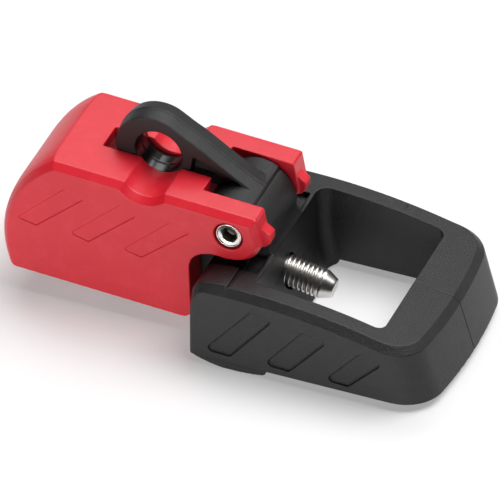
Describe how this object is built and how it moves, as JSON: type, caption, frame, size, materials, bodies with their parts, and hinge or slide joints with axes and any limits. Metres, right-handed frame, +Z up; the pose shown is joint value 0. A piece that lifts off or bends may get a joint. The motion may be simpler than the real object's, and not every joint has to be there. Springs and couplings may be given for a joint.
{
  "type": "clamp-on breaker lockout",
  "caption": "Hand-tightened clamp lockout: a black frame closes round a breaker toggle, a screw grips it, and a hinged red cover over the dial is locked by a padlock through a tab.",
  "frame": {"origin": "centre of the bounding box's bottom, under the frame's hinge end, with the cover closed", "axes": "+X along the object towards the toggle window, +Y across it, +Z up; symmetric about Y = 0"},
  "size_m": [0.1231, 0.0566, 0.054],
  "materials": {
    "black_nylon": "fine moulded grain, satin",
    "dial_nylon": "moulded, satin",
    "red_nylon": "moulded, semi-matte",
    "nickel_steel": "bright nickel plate",
    "zinc_steel": "bright zinc plate, rolled thread",
    "brass_insert": "turned"
  },
  "bodies": {
    "frame": {"clamp_frame": "black_nylon", "thread_insert": "brass_insert"},
    "cover": {"cover": "red_nylon", "hinge_screw": "nickel_steel", "hinge_nut": "nickel_steel"},
    "feed": {"dial_washer": "zinc_steel"},
    "screw": {"clamp_screw": "zinc_steel", "thumb_dial": "dial_nylon", "dial_pin": "zinc_steel"}
  },
  "joints": [
    {"name": "cover_hinge", "type": "hinge", "parent": "frame", "child": "cover", "pos_m": [0.00134, 0, 0.0333], "axis": [0, 1, 0], "range_deg": [-3.37, 105]},
    {"name": "screw_feed", "type": "slide", "parent": "frame", "child": "feed", "axis": [0.9833, 0, -0.1822], "range_m": [-0.014, 0.0075]},
    {"name": "screw_turn", "type": "hinge", "parent": "feed", "child": "screw", "pos_m": [0.01064, 0, 0.01315], "axis": [0.9833, 0, -0.1822], "continuous": true}
  ],
  "couplings": [
    {"joint": "screw_turn", "follows": "screw_feed", "rad_per_m": 5026.5}
  ]
}
